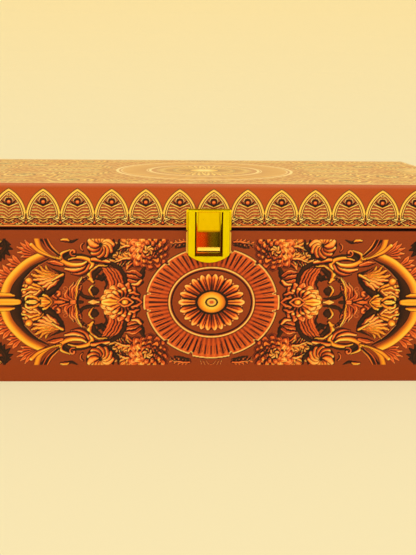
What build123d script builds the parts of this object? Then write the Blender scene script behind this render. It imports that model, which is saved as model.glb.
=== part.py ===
"""Dry fruit box: a paper-covered board box with four compartments and a hinged lid.

The base is four walls and a floor of board, wrapped in printed paper that turns
in over the rim, lined inside, and divided by two half-lapped dividers. The lid is
built the same way under a printed top sheet. Two small butt hinges carry the lid,
and a swinging latch flap on the lid closes over a catch on the base's front.

Frame: millimetres, origin at the centre of the underside, +X to the right along
the front, +Y from the front to the back, +Z up.
"""
from build123d import *
import os

os.makedirs("parts", exist_ok=True)

# Driving dimensions of the box
box_width = 254.0
box_depth = 127.0
base_height = 71.2
lid_gap = 0.6
lid_height = 20.6
corner_radius = 1.5
lid_edge_radius = 1.2
rim_edge_radius = 0.5

# Boards, paper and lining
wall_board = 4.0
floor_board = 3.0
lid_board = 3.0
wrap = 0.4
lining = 0.4
turn_in = 4.0
lid_skirt = 2.0

# Dividers
divider_board = 2.5
divider_drop = 6.0
divider_edge_radius = 0.6
lap_clearance = 0.05

# Latch: a flap on a pin across the lid plate, over the catch on the base
latch_width = 19.2
latch_plate_width = 20.8
latch_plate = 0.6
latch_plate_corner = 0.8
latch_axis_drop = 12.1
latch_axis_stand_off = 1.65
latch_barrel_radius = 0.9
latch_pin_radius = 0.45
latch_knuckle_half = 5.0
latch_knuckle_gap = 0.2
lid_plate_overhang = 0.9
lid_plate_head = 0.5
lid_pad_half = 5.2
lid_pad_rise = 0.4
lid_pad_bevel = 0.35
lid_pad_overhang = 1.1
catch_drop = 0.6
catch_reach = 10.4
catch_tongue_half = 5.2
catch_tongue_rise = 0.4
catch_lip_rise = 0.35
catch_lip_height = 2.8
catch_tongue_reach = 10.5

# Flap: a stamped frame with a window that has a set-back rim
flap_thickness = 0.8
flap_length = 24.0
flap_side_length = 20.4
flap_corner_radius = 1.0
flap_edge_radius = 0.25
flap_bottom_bar = 4.8
window_half = 5.3
rim_width = 0.45
rim_set_back = 0.4
side_bevel = 0.75
bottom_bevel = 1.7

# Small nails of the latch plates
nail_radius = 0.6
nail_length = 3.4
nail_head_radius = 1.3
nail_head_height = 0.4
nail_dome_radius = 0.28
nail_inset = 2.1
nail_fit = 0.05
catch_nail_drop = 5.2
lid_nail_drop = 4.4

# Butt hinges on the back
hinge_spread = 75.0
hinge_width = 25.0
hinge_knuckles = 5
hinge_knuckle_gap = 0.2
hinge_barrel_radius = 1.6
hinge_pin_radius = 0.8
hinge_stand_off = 1.8
leaf_thickness = 0.8
leaf_reach = 10.0
leaf_corner_radius = 1.0
leaf_clearance = 0.3
running_fit = 0.03
screw_spacing = 15.0
screw_reach = 6.2
screw_head_radius = 1.6
screw_radius = 0.8
screw_length = 4.6
screw_fit = 0.05
hole_spare = 0.2

# Levels and planes worked out from the sizes above
lid_foot = base_height + lid_gap
box_height = lid_foot + lid_height
front = -box_depth / 2
back = box_depth / 2
board_x = box_width / 2 - wrap
board_y = box_depth / 2 - wrap
inner_x = board_x - wall_board
inner_y = board_y - wall_board
room_x = inner_x - lining
room_y = inner_y - lining
board_corner = corner_radius - wrap
floor_top = wrap + floor_board
base_board_top = base_height - wrap
base_turn_end = base_board_top - turn_in
room_floor = floor_top + lining
divider_top = base_height - divider_drop
lid_board_foot = lid_foot + wrap
lid_turn_end = lid_board_foot + turn_in
panel_top = box_height - wrap
panel_foot = panel_top - lid_board
skirt_foot = box_height - lid_skirt
hinge_y = back + hinge_stand_off
hinge_z = base_height + lid_gap / 2
latch_y = front - latch_axis_stand_off
latch_z = box_height - latch_axis_drop
latch_half = latch_width / 2
latch_bore_radius = latch_pin_radius + running_fit
flap_face = latch_y - latch_barrel_radius
flap_inner = latch_knuckle_half + latch_knuckle_gap
catch_top = base_height - catch_drop
nail_x = latch_half - nail_inset
catch_nail_z = base_height - catch_nail_drop
lid_nail_z = lid_foot + lid_nail_drop
front_face = Plane(origin=(0, front, 0), x_dir=(1, 0, 0), z_dir=(0, -1, 0))
back_face = Plane(origin=(0, back, 0), x_dir=(-1, 0, 0), z_dir=(0, 1, 0))
front_board_face = Plane(origin=(0, -board_y, 0), x_dir=(1, 0, 0), z_dir=(0, -1, 0))
back_board_face = Plane(origin=(0, board_y, 0), x_dir=(-1, 0, 0), z_dir=(0, 1, 0))


def save(piece, name):
    """Label a finished piece and write it under its own name."""
    piece.part.label = name
    export_step(piece.part, f"parts/{name}.step")


def nail_spots(height):
    """Places of a latch plate's two nails on a front plane."""
    return [(-nail_x, height), (nail_x, height)]


def screw_spots(side):
    """Places of the screws on a back plane; side is -1 on the base and 1 on the lid."""
    spots = []
    for hinge_x in (-hinge_spread, hinge_spread):
        for offset_x in (-screw_spacing / 2, screw_spacing / 2):
            spots.append((hinge_x + offset_x, hinge_z + side * screw_reach))
    return spots


# Depths that the nails and screws reach, measured from the board's face
nail_depth = nail_length - latch_plate - wrap
screw_depth = screw_length - leaf_thickness - wrap


def cross_wall(side, foot, height, face, spots, shank, depth):
    """A front (side -1) or back (side 1) wall over the full width, drilled from its face."""
    with BuildPart() as wall:
        with BuildSketch(Plane.XY.offset(foot)):
            with Locations((0, side * (board_y + inner_y) / 2)):
                Rectangle(2 * board_x, wall_board)
        extrude(amount=height)
        upright = wall.edges().filter_by(Axis.Z)
        fillet(upright.filter_by(lambda edge: side * edge.center().Y > inner_y + wrap), board_corner)
        with Locations(face):
            with Locations(*[(x, z, 0) for x, z in spots]):
                Hole(shank, depth=depth + hole_spare)
    return wall


def end_wall(side, foot, height):
    """A left (side -1) or right (side 1) wall between the front and back walls."""
    with BuildPart() as wall:
        with BuildSketch(Plane.XY.offset(foot)):
            with Locations((side * (board_x + inner_x) / 2, 0)):
                Rectangle(wall_board, 2 * inner_y)
        extrude(amount=height)
    return wall


nail_hole = nail_radius + nail_fit
screw_hole = screw_radius + screw_fit

# Base: walls and floor of board
base_wall_height = base_board_top - wrap
base_front_wall = cross_wall(
    -1, wrap, base_wall_height, front_board_face, nail_spots(catch_nail_z), nail_hole, nail_depth
)
save(base_front_wall, "base_front_wall")
base_back_wall = cross_wall(
    1, wrap, base_wall_height, back_board_face, screw_spots(-1), screw_hole, screw_depth
)
save(base_back_wall, "base_back_wall")
base_left_wall = end_wall(-1, wrap, base_wall_height)
save(base_left_wall, "base_left_wall")
base_right_wall = end_wall(1, wrap, base_wall_height)
save(base_right_wall, "base_right_wall")

with BuildPart() as base_floor_panel:
    with BuildSketch(Plane.XY.offset(wrap)):
        Rectangle(2 * inner_x, 2 * inner_y)
    extrude(amount=floor_board)
save(base_floor_panel, "base_floor_panel")

# Paper pasted over the underside, inside the wrap's lower edge
with BuildPart() as underside_sheet:
    with BuildSketch():
        RectangleRounded(2 * board_x, 2 * board_y, board_corner)
    extrude(amount=wrap)
save(underside_sheet, "underside_sheet")

# Printed wrap: up the outside, over the rim and turned in against the walls
with BuildPart() as base_wrap:
    with BuildSketch():
        RectangleRounded(box_width, box_depth, corner_radius)
    extrude(amount=base_height)
    rim = base_wrap.faces().sort_by(Axis.Z)[-1]
    fillet(rim.outer_wire().edges(), rim_edge_radius)
    with BuildSketch():
        RectangleRounded(2 * board_x, 2 * board_y, board_corner)
    extrude(amount=base_board_top, mode=Mode.SUBTRACT)
    with BuildSketch(Plane.XY.offset(base_turn_end)):
        Rectangle(2 * inner_x, 2 * inner_y)
    extrude(amount=turn_in)
    with BuildSketch(Plane.XY.offset(base_turn_end)):
        Rectangle(2 * (inner_x - wrap), 2 * (inner_y - wrap))
    extrude(amount=turn_in + wrap, mode=Mode.SUBTRACT)
    with Locations(front_face):
        with Locations(*[(x, z, 0) for x, z in nail_spots(catch_nail_z)]):
            Hole(nail_hole, depth=wrap + hole_spare)
    with Locations(back_face):
        with Locations(*[(x, z, 0) for x, z in screw_spots(-1)]):
            Hole(screw_hole, depth=wrap + hole_spare)
save(base_wrap, "base_wrap")

# Lining: a tray of paper from the floor up to the turned-in wrap
with BuildPart() as base_lining:
    with BuildSketch(Plane.XY.offset(floor_top)):
        Rectangle(2 * inner_x, 2 * inner_y)
    extrude(amount=base_turn_end - floor_top)
    with BuildSketch(Plane.XY.offset(room_floor)):
        Rectangle(2 * room_x, 2 * room_y)
    extrude(amount=base_turn_end - room_floor, mode=Mode.SUBTRACT)
save(base_lining, "base_lining")

# Dividers: the long one is slotted from above, the cross one from below
divider_height = divider_top - room_floor
lap_width = divider_board + 2 * lap_clearance

with BuildPart() as long_divider:
    with BuildSketch(Plane.XY.offset(room_floor)):
        Rectangle(2 * room_x, divider_board)
    extrude(amount=divider_height)
    top = long_divider.faces().sort_by(Axis.Z)[-1]
    fillet(top.edges().filter_by(Axis.X), divider_edge_radius)
    with BuildSketch(Plane.XY.offset(room_floor + divider_height / 2)):
        Rectangle(lap_width, divider_board)
    extrude(amount=divider_height / 2, mode=Mode.SUBTRACT)
save(long_divider, "long_divider")

with BuildPart() as cross_divider:
    with BuildSketch(Plane.XY.offset(room_floor)):
        Rectangle(divider_board, 2 * room_y)
    extrude(amount=divider_height)
    top = cross_divider.faces().sort_by(Axis.Z)[-1]
    fillet(top.edges().filter_by(Axis.Y), divider_edge_radius)
    with BuildSketch(Plane.XY.offset(room_floor)):
        Rectangle(divider_board, lap_width)
    extrude(amount=divider_height / 2, mode=Mode.SUBTRACT)
save(cross_divider, "cross_divider")

# Lid: rails of board under a panel
lid_rail_height = panel_foot - lid_board_foot
lid_front_rail = cross_wall(
    -1, lid_board_foot, lid_rail_height, front_board_face, nail_spots(lid_nail_z), nail_hole, nail_depth
)
save(lid_front_rail, "lid_front_rail")
lid_back_rail = cross_wall(
    1, lid_board_foot, lid_rail_height, back_board_face, screw_spots(1), screw_hole, screw_depth
)
save(lid_back_rail, "lid_back_rail")
lid_left_rail = end_wall(-1, lid_board_foot, lid_rail_height)
save(lid_left_rail, "lid_left_rail")
lid_right_rail = end_wall(1, lid_board_foot, lid_rail_height)
save(lid_right_rail, "lid_right_rail")

with BuildPart() as lid_top_panel:
    with BuildSketch(Plane.XY.offset(panel_foot)):
        RectangleRounded(2 * board_x, 2 * board_y, board_corner)
    extrude(amount=lid_board)
    panel_face = lid_top_panel.faces().sort_by(Axis.Z)[-1]
    fillet(panel_face.edges(), lid_edge_radius - wrap)
save(lid_top_panel, "lid_top_panel")

# Top sheet: laid over the panel, down its rounded edge and a little down the rails
with BuildPart() as lid_top_sheet:
    with BuildSketch(Plane.XY.offset(skirt_foot)):
        RectangleRounded(box_width, box_depth, corner_radius)
    extrude(amount=lid_skirt)
    sheet_face = lid_top_sheet.faces().sort_by(Axis.Z)[-1]
    fillet(sheet_face.edges(), lid_edge_radius)
    offset(amount=-wrap, openings=lid_top_sheet.faces().sort_by(Axis.Z)[0])
save(lid_top_sheet, "lid_top_sheet")

# Border wrap: round the rails, under their edge and turned in
with BuildPart() as lid_rim_wrap:
    with BuildSketch(Plane.XY.offset(lid_foot)):
        RectangleRounded(box_width, box_depth, corner_radius)
    extrude(amount=skirt_foot - lid_foot)
    foot = lid_rim_wrap.faces().sort_by(Axis.Z)[0]
    fillet(foot.outer_wire().edges(), rim_edge_radius)
    with BuildSketch(Plane.XY.offset(lid_board_foot)):
        RectangleRounded(2 * board_x, 2 * board_y, board_corner)
    extrude(amount=skirt_foot - lid_board_foot, mode=Mode.SUBTRACT)
    with BuildSketch(Plane.XY.offset(lid_board_foot)):
        Rectangle(2 * inner_x, 2 * inner_y)
    extrude(amount=turn_in)
    with BuildSketch(Plane.XY.offset(lid_foot)):
        Rectangle(2 * (inner_x - wrap), 2 * (inner_y - wrap))
    extrude(amount=turn_in + wrap, mode=Mode.SUBTRACT)
    with Locations(front_face):
        with Locations(*[(x, z, 0) for x, z in nail_spots(lid_nail_z)]):
            Hole(nail_hole, depth=wrap + hole_spare)
    with Locations(back_face):
        with Locations(*[(x, z, 0) for x, z in screw_spots(1)]):
            Hole(screw_hole, depth=wrap + hole_spare)
save(lid_rim_wrap, "lid_rim_wrap")

with BuildPart() as lid_lining:
    with BuildSketch(Plane.XY.offset(lid_turn_end)):
        Rectangle(2 * inner_x, 2 * inner_y)
    extrude(amount=panel_foot - lid_turn_end)
    with BuildSketch(Plane.XY.offset(lid_turn_end)):
        Rectangle(2 * room_x, 2 * room_y)
    extrude(amount=panel_foot - lining - lid_turn_end, mode=Mode.SUBTRACT)
save(lid_lining, "lid_lining")


def barrel(start_x, end_x, axis_y, axis_z, radius, mode=Mode.ADD):
    """Add a round bar along X to the part being built, or cut one as a bore."""
    with Locations(((start_x + end_x) / 2, axis_y, axis_z)):
        Cylinder(radius, end_x - start_x, rotation=(0, 90, 0), mode=mode)


# Latch catch: a nailed plate whose pressed-out tongue ends in a curled lip
catch_face = Plane(origin=(0, front - latch_plate, 0), x_dir=(1, 0, 0), z_dir=(0, -1, 0))
tongue_out = front - latch_plate - catch_tongue_rise
lip_out = tongue_out - catch_lip_rise
tongue_foot = base_height - catch_tongue_reach

with BuildPart() as latch_catch:
    with BuildSketch(front_face):
        with Locations((0, catch_top - catch_reach / 2)):
            RectangleRounded(latch_plate_width, catch_reach, latch_plate_corner)
    extrude(amount=latch_plate)
    with BuildSketch(Plane.YZ.offset(-catch_tongue_half)):
        with BuildLine():
            top_step = Line((catch_face.origin.Y, catch_top), (tongue_out, catch_top - catch_tongue_rise))
            tongue = Line(top_step @ 1, (tongue_out, tongue_foot + catch_lip_height))
            lip = TangentArc(tongue @ 1, (lip_out, tongue_foot), tangent=(0, -1))
            under = Line(lip @ 1, (catch_face.origin.Y, tongue_foot))
            Line(under @ 1, top_step @ 0)
        make_face()
    extrude(amount=2 * catch_tongue_half)
    with Locations(catch_face):
        with Locations(*[(x, z, 0) for x, z in nail_spots(catch_nail_z)]):
            Hole(nail_hole, depth=latch_plate + hole_spare)
save(latch_catch, "latch_catch")

# Lid plate: its raised pad runs up into the centre knuckle of the latch
lid_plate_z = lid_foot - lid_plate_overhang
lid_plate_top = latch_z + lid_plate_head
lid_pad_z = lid_foot - lid_pad_overhang

with BuildPart() as latch_lid_plate:
    with BuildSketch(front_face):
        with Locations((0, (lid_plate_z + lid_plate_top) / 2)):
            RectangleRounded(latch_plate_width, lid_plate_top - lid_plate_z, latch_plate_corner)
    extrude(amount=latch_plate)
    with BuildSketch(catch_face):
        with Locations((0, (lid_pad_z + latch_z) / 2)):
            Rectangle(2 * lid_pad_half, latch_z - lid_pad_z)
    extrude(amount=lid_pad_rise)
    pad = latch_lid_plate.faces().sort_by(Axis.Y)[0]
    chamfer(pad.edges().filter_by(lambda edge: edge.center().Z < latch_z - lid_pad_bevel), lid_pad_bevel)
    barrel(-latch_knuckle_half, latch_knuckle_half, latch_y, latch_z, latch_barrel_radius)
    barrel(-latch_half, latch_half, latch_y, latch_z, latch_bore_radius, Mode.SUBTRACT)
    with Locations(catch_face):
        with Locations(*[(x, z, 0) for x, z in nail_spots(lid_nail_z)]):
            Hole(nail_hole, depth=latch_plate + hole_spare)
save(latch_lid_plate, "latch_lid_plate")

with BuildPart() as latch_pin:
    barrel(-latch_half, latch_half, latch_y, latch_z, latch_pin_radius)
save(latch_pin, "latch_pin")

# Flap: side bars, bottom bar and a window whose bevels fall to a set-back rim
flap_back_plane = Plane(
    origin=(0, flap_face + flap_thickness, 0), x_dir=(1, 0, 0), z_dir=(0, -1, 0)
)
flap_face_plane = Plane(origin=(0, flap_face, 0), x_dir=(1, 0, 0), z_dir=(0, -1, 0))
rim_plane = Plane(origin=(0, flap_face + rim_set_back, 0), x_dir=(1, 0, 0), z_dir=(0, -1, 0))
flap_foot = latch_z - flap_length
flap_side_foot = latch_z - flap_side_length
window_foot = flap_foot + flap_bottom_bar
rim_half = window_half + rim_width
rim_foot = window_foot - rim_width
bevel_half = rim_half + side_bevel
bevel_foot = rim_foot - bottom_bevel


def window_outline(half_width, foot_z):
    """A window's rectangle, from its foot to above the pin, on the current sketch plane."""
    head_z = latch_z + latch_barrel_radius
    with Locations((0, (foot_z + head_z) / 2)):
        Rectangle(2 * half_width, head_z - foot_z)


with BuildPart() as latch_flap:
    with BuildSketch(flap_back_plane) as flap_outline:
        with BuildLine():
            left = Line((-latch_half, latch_z), (-latch_half, flap_side_foot))
            sweep_arc = ThreePointArc(left @ 1, (0, flap_foot), (latch_half, flap_side_foot))
            right = Line(sweep_arc @ 1, (latch_half, latch_z))
            Line(right @ 1, left @ 0)
        make_face()
        fillet(flap_outline.vertices().group_by(Axis.Z)[0], flap_corner_radius)
    extrude(amount=flap_thickness)
    flap_front = latch_flap.faces().sort_by(Axis.Y)[0]
    lower_edges = flap_front.edges().filter_by(lambda edge: edge.center().Z < latch_z - flap_edge_radius)
    fillet(lower_edges, flap_edge_radius)
    with BuildSketch(flap_back_plane):
        window_outline(window_half, window_foot)
    extrude(amount=flap_thickness, mode=Mode.SUBTRACT)
    with BuildSketch(rim_plane):
        window_outline(rim_half, rim_foot)
    with BuildSketch(flap_face_plane):
        window_outline(bevel_half, bevel_foot)
    loft(mode=Mode.SUBTRACT)
    barrel(-latch_half, -flap_inner, latch_y, latch_z, latch_barrel_radius)
    barrel(flap_inner, latch_half, latch_y, latch_z, latch_barrel_radius)
    barrel(-latch_half, latch_half, latch_y, latch_z, latch_bore_radius, Mode.SUBTRACT)
save(latch_flap, "latch_flap")


def plate_nails(height):
    """Two small nails with low domed heads, driven through a latch plate."""
    with BuildPart() as nails:
        with BuildSketch(catch_face):
            with Locations(*nail_spots(height)):
                Circle(nail_radius)
        extrude(amount=-nail_length)
        with BuildSketch(catch_face):
            with Locations(*nail_spots(height)):
                Circle(nail_head_radius)
        extrude(amount=nail_head_height)
        heads = nails.faces().group_by(Axis.Y)[0]
        fillet(heads.edges(), nail_dome_radius)
    return nails


catch_nails = plate_nails(catch_nail_z)
save(catch_nails, "catch_nails")
lid_plate_nails = plate_nails(lid_nail_z)
save(lid_plate_nails, "lid_plate_nails")

# Butt hinges: the base leaf has the odd knuckles and the lid leaf the even ones
knuckle_pitch = hinge_width / hinge_knuckles
knuckle_half = (knuckle_pitch - hinge_knuckle_gap) / 2
notch_depth = hinge_barrel_radius + leaf_clearance


def hinge_leaf(centre_x, side):
    """A leaf with its knuckles; side is -1 for the base's leaf and 1 for the lid's."""
    offsets = [(index - (hinge_knuckles - 1) / 2) * knuckle_pitch for index in range(hinge_knuckles)]
    own = offsets[0::2] if side < 0 else offsets[1::2]
    others = offsets[1::2] if side < 0 else offsets[0::2]
    start_x = centre_x - hinge_width / 2
    end_x = centre_x + hinge_width / 2
    with BuildPart() as leaf:
        with BuildSketch(back_face) as outline:
            with Locations((-centre_x, hinge_z + side * leaf_reach / 2)):
                Rectangle(hinge_width, leaf_reach)
            far = outline.vertices().sort_by(Axis.Z)
            fillet(far[:2] if side < 0 else far[2:], leaf_corner_radius)
            with Locations(*[(-centre_x - x, hinge_z + side * notch_depth / 2) for x in others]):
                Rectangle(knuckle_pitch + hinge_knuckle_gap, notch_depth, mode=Mode.SUBTRACT)
        extrude(amount=leaf_thickness)
        for x in own:
            left_x, right_x = centre_x + x - knuckle_half, centre_x + x + knuckle_half
            barrel(left_x, right_x, hinge_y, hinge_z, hinge_barrel_radius)
        barrel(start_x, end_x, hinge_y, hinge_z, hinge_pin_radius + running_fit, Mode.SUBTRACT)
        with Locations(back_face.offset(leaf_thickness)):
            with Locations(*[(x, z, 0) for x, z in screw_spots(side) if abs(x + centre_x) < hinge_width]):
                CounterSinkHole(
                    screw_hole,
                    screw_head_radius + screw_fit,
                    depth=leaf_thickness + hole_spare,
                    counter_sink_angle=90,
                )
    return leaf


def hinge_pin(centre_x):
    """The pin through one hinge's knuckles."""
    with BuildPart() as pin:
        start_x = centre_x - hinge_width / 2
        barrel(start_x, start_x + hinge_width, hinge_y, hinge_z, hinge_pin_radius)
    return pin


for side_name, centre_x in (("left", -hinge_spread), ("right", hinge_spread)):
    save(hinge_leaf(centre_x, -1), f"hinge_{side_name}_base_leaf")
    save(hinge_leaf(centre_x, 1), f"hinge_{side_name}_lid_leaf")
    save(hinge_pin(centre_x), f"hinge_{side_name}_pin")


def leaf_screws(side):
    """Countersunk screws of both hinges; side is -1 for the base and 1 for the lid."""
    cone_height = screw_head_radius - screw_radius
    with BuildPart() as screws:
        with Locations(back_face.offset(leaf_thickness)):
            with Locations(*[(x, z, 0) for x, z in screw_spots(side)]):
                Cone(
                    screw_radius,
                    screw_head_radius,
                    cone_height,
                    align=(Align.CENTER, Align.CENTER, Align.MAX),
                )
                Cylinder(screw_radius, screw_length, align=(Align.CENTER, Align.CENTER, Align.MAX))
    return screws


hinge_base_screws = leaf_screws(-1)
save(hinge_base_screws, "hinge_base_screws")
hinge_lid_screws = leaf_screws(1)
save(hinge_lid_screws, "hinge_lid_screws")
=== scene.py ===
"""Dry fruit box with printed paper wraps, dressed for rendering.

The boards, papers, hinges and latch come from the frame. This script adds the
printed surfaces, worked out as ink on paper, the finishes and the stage.
"""
import math

import bpy
import numpy as np
from bpy.props import FloatProperty, FloatVectorProperty, PointerProperty
from mathutils import Matrix, Vector


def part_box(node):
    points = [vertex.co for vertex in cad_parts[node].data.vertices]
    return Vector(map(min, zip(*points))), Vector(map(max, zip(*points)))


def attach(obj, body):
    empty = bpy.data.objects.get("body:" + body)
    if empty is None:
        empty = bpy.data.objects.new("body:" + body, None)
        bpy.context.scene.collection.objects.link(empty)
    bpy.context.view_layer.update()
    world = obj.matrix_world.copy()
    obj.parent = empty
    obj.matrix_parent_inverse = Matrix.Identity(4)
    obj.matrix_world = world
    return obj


bl_info = {
    "name": "Dry Fruit Box",
    "version": (1, 0, 0),
    "blender": (4, 5, 0),
    "location": "View3D > Sidebar > Fruit Box",
    "description": "Printed wraps, gilt latch and finishes of a paper-covered dry fruit box",
    "category": "Object",
}

MM = 0.001
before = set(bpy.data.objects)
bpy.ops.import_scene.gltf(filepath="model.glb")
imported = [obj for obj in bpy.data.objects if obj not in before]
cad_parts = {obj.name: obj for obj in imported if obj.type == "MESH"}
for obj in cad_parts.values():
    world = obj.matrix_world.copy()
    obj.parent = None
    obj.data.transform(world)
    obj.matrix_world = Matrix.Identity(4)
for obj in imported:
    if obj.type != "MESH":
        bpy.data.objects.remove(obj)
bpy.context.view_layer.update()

# Sizes read from the frame, in millimetres
HALF_WIDTH, HALF_DEPTH, BASE_TOP = np.array(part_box("base_wrap")[1]) / MM
LID_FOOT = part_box("lid_rim_wrap")[0][2] / MM
BOX_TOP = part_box("lid_top_sheet")[1][2] / MM

# Edges of the papers, as the CAD rounds them, and how far the printed sheets stand off them
CORNER_RADIUS = 1.5
LID_EDGE_RADIUS = 1.2
RIM_EDGE_RADIUS = 0.5
INK_LIFT = 0.04

# Each side's quarter turns from the front, its half length and its half distance from the middle
SIDES = {
    "front": (0, HALF_WIDTH, HALF_DEPTH),
    "right": (1, HALF_DEPTH, HALF_WIDTH),
    "back": (2, HALF_WIDTH, HALF_DEPTH),
    "left": (3, HALF_DEPTH, HALF_WIDTH),
}

# Parts of the latch that stay bright after plating, and how rough they are
KNUCKLE_HEIGHT = 1.75
TONGUE_HALF = 5.25
BEVEL_DEPTH = 0.06
MIRROR_ROUGHNESS = 0.07


def linear(hex_colour):
    """An sRGB hex value as linear red, green and blue."""
    levels = [int(hex_colour[start:start + 2], 16) / 255 for start in (1, 3, 5)]
    return tuple(c / 12.92 if c <= 0.04045 else ((c + 0.055) / 1.055) ** 2.4 for c in levels)


def rgba(hex_colour):
    """The same value as a socket takes it, with an alpha of one."""
    return (*linear(hex_colour), 1)


def held(values):
    """Values held between 0 and 1."""
    return np.clip(values, 0, 1)


# Inks of the base print
INK_DARK = "#2E1C08"
GROUND = "#963C0A"
GROUND_PANEL = "#943C0E"

# Inks of the lid's border and top
BORDER_GROUND = "#B84E12"
# The next colour is a painted highlight: the paler pink where the lid's rounded top edge catches
# light
BORDER_EDGE_HIGHLIGHT = "#C2683E"
TOP_GROUND = "#CE8230"
TOP_PAPER = "#D08A44"
TOP_GLOSS = {"roughness": 0.4, "coat": 0.35, "coat_roughness": 0.12}

# Shade painted dark into the wraps' colour in the slit between lid and base: its colour, from how
# far off its middle, and the wrap's outer skin
PAINTED_SLIT_SHADE_COLOUR = "#160A04"
SLIT_SHADE = (0.6, 0.85)
RIM_SKIN = 0.8

# The light that the printed relief is drawn with: its direction, and what it does to the tones
RELIEF_LIGHT = (0.36, 0.5, 0.79)
RELIEF_CONTRAST = 1.8
VEIN_DEPTH = 0.4
EDGE_LEAN = 0.9
LOBE_LEAN = 50.0


class Inks:
    """Colours along a tone from 0, the darkest, to 1, the lightest."""

    def __init__(self, tones, *colours):
        self.tones = tones
        self.colours = np.array([linear(colour) for colour in colours])

    def at(self, tone):
        """The colour at each tone, by straight lines between the steps."""
        return np.stack([np.interp(tone, self.tones, level) for level in self.colours.T], axis=-1)


FLORAL = Inks((0, 0.2, 0.42, 0.7, 1), INK_DARK, "#7E2A08", "#DE5816", "#FC922C", "#FFC45C")
BRIGHT = Inks((0, 0.2, 0.46, 0.74, 1), INK_DARK, "#9E400A", "#E67216", "#FFA626", "#FFD258")
GILT_BAND = Inks((0, 0.25, 0.55, 0.8, 1), INK_DARK, "#A8440C", "#E27C16", "#FFA61C", "#FFC23C")
RUSSET = Inks((0, 0.25, 0.5, 0.8, 1), INK_DARK, "#7E2A0A", "#CC4E14", "#F07226", "#FF9C48")
SHADE = Inks((0, 1), "#241606", "#46240C")
BORDER = Inks((0, 0.3, 0.55, 0.8, 1), "#3E2E10", "#96401A", "#C8682C", "#FFC04A", "#FFE48C")
TOP_INK = Inks((0, 0.3, 0.6, 0.85, 1), "#AC6420", "#D08E3A", "#F0B854", "#FFDC7C", "#FFF0A8")


class Paper:
    """A printed sheet as a grid of points, u across and v up in millimetres, inked in order.

    Both start a margin below zero, so that the print can be mirrored there without a seam.
    """

    MARGIN = 0.3

    def __init__(self, width, height, pitch, ground):
        self.pitch = pitch
        self.u, self.v = (
            np.arange(round((reach + self.MARGIN) / pitch) + 1) * pitch - self.MARGIN
            for reach in (width, height)
        )
        self.ink = np.empty((len(self.v), len(self.u), 3))
        self.ink[:] = linear(ground)

    def window(self, low, high):
        """The slices that cover a rectangle, and the points' u and v inside it."""
        rows = slice(*np.searchsorted(self.v, (low[1], high[1])))
        columns = slice(*np.searchsorted(self.u, (low[0], high[0])))
        return (rows, columns), *np.meshgrid(self.u[columns], self.v[rows])

    def lay(self, place, cover, colour):
        """Ink of a hex colour, or a colour per point, as thick as cover says from 0 to 1."""
        cover = held(cover)[..., None]
        colour = linear(colour) if isinstance(colour, str) else colour
        self.ink[place] = self.ink[place] * (1 - cover) + np.asarray(colour) * cover

    def fill(self, place, depth, colour):
        """Ink where depth, the distance inside an edge in millimetres, is above zero."""
        self.lay(place, depth / self.pitch + 0.5, colour)

    def trace(self, place, field, at, width, colour):
        """A line of ink along the points where a field in millimetres has one value."""
        self.fill(place, width / 2 - np.abs(field - at), colour)

    def read(self, u, v):
        """The ink at any points, by bilinear interpolation."""
        x = np.clip((u + self.MARGIN) / self.pitch, 0, len(self.u) - 1.001)
        y = np.clip((v + self.MARGIN) / self.pitch, 0, len(self.v) - 1.001)
        left, foot = x.astype(int), y.astype(int)
        across, up = (x - left)[..., None], (y - foot)[..., None]
        lower = self.ink[foot, left] * (1 - across) + self.ink[foot, left + 1] * across
        upper = self.ink[foot + 1, left] * (1 - across) + self.ink[foot + 1, left + 1] * across
        return lower * (1 - up) + upper * up


def smooth_line(points):
    """A Catmull-Rom line through a few points: cubic pieces whose slopes follow the neighbours."""
    points = np.array(points, float)
    padded = np.vstack([2 * points[0] - points[1], points, 2 * points[-1] - points[-2]])
    share = np.linspace(0, 1, 8, endpoint=False)[:, None]
    spans = []
    for before, start, end, after in zip(padded, padded[1:], padded[2:], padded[3:]):
        spans.append(
            0.5 * (2 * start + (end - before) * share
                   + (2 * before - 5 * start + 4 * end - after) * share**2
                   + (3 * start - before - 3 * end + after) * share**3)
        )
    return np.vstack([*spans, points[-1:]])


def stroke(paper, points, widths, inks=FLORAL, edge=0.35, low=0.12, high=1.0, veins=0, rise=0.3):
    """A leaf, stalk or ribbon of ink along a smooth line, shaded as a rounded relief.

    Each point's distance to the line is set against a half width that changes along it. The
    tone is the round surface's normal times the light, plus a rise from the root to the tip.
    The dark edge outside is wider on the side away from the light.
    """
    line = smooth_line(points)
    half = np.interp(np.linspace(0, 1, len(line)), np.linspace(0, 1, len(widths)), widths) / 2
    reach = half.max() + 2 * edge + paper.pitch
    place, u, v = paper.window(line.min(axis=0) - reach, line.max(axis=0) + reach)
    if not u.size:
        return
    start, step = line[:-1], np.diff(line, axis=0)
    length_2 = np.maximum((step**2).sum(axis=1), 1e-9)
    from_u, from_v = u[..., None] - start[:, 0], v[..., None] - start[:, 1]
    share = held((from_u * step[:, 0] + from_v * step[:, 1]) / length_2)
    off_u, off_v = from_u - share * step[:, 0], from_v - share * step[:, 1]
    width = half[:-1] + (half[1:] - half[:-1]) * share
    best = np.argmin(np.hypot(off_u, off_v) - width, axis=-1)[..., None]
    off_u, off_v, width, share = (
        np.take_along_axis(field, best, -1)[..., 0] for field in (off_u, off_v, width, share)
    )
    near = np.maximum(np.hypot(off_u, off_v), 1e-6)
    size = np.maximum(width, paper.pitch)
    facing = off_u * RELIEF_LIGHT[0] + off_v * RELIEF_LIGHT[1]
    lit = facing / size + RELIEF_LIGHT[2] * np.sqrt(held(1 - (near / size) ** 2))
    tone = low + (high - low) * held(lit) ** RELIEF_CONTRAST
    tone += rise * ((best[..., 0] + share) / len(step) - 0.5)
    if veins:
        side = np.where(step[best[..., 0], 0] * off_v - step[best[..., 0], 1] * off_u < 0, -1, 1)
        tone -= VEIN_DEPTH * (0.5 + 0.5 * np.cos(side * near / size * math.pi * veins)) ** 2
    away = 1 - EDGE_LEAN * facing / near
    paper.fill(place, width + edge * away - near, INK_DARK)
    paper.fill(place, width - near, inks.at(tone))


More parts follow.
